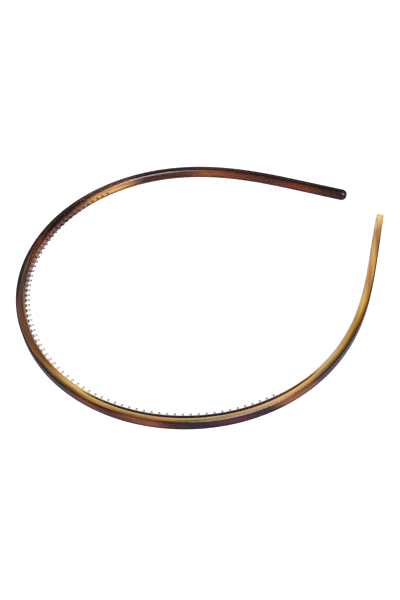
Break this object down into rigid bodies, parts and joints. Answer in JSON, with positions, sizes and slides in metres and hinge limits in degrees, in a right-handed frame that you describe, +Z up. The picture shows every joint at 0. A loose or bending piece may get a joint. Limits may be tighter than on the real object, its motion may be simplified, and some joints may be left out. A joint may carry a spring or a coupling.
{
  "type": "headband",
  "caption": "Slim springy tortoiseshell hoop for the hair, with a clear honey inner strip and a comb of short pegs inside the crown.",
  "frame": {"origin": "middle of the hoop's bounding box, on the surface that it lies on", "axes": "+Z up, square to the plane of the hoop; +X from the crown towards the two arm tips; +Y towards the left arm"},
  "size_m": [0.1378, 0.1222, 0.0042],
  "materials": {
    "honey_plastic": "polished, clear honey",
    "tortoiseshell": "polished, mottled dark brown and amber"
  },
  "bodies": {
    "left_half": {"left_comb_strip": "honey_plastic", "left_tortoiseshell_layer": "tortoiseshell"},
    "right_half": {"right_comb_strip": "honey_plastic", "right_tortoiseshell_layer": "tortoiseshell"}
  },
  "joints": [
    {"name": "arm_spread", "type": "hinge", "parent": "left_half", "child": "right_half", "pos_m": [-0.06891, 0.00088, 0.0021], "axis": [0, 0, -1], "range_deg": [-5, 50], "stiffness_Nm_per_rad": 0.07}
  ]
}
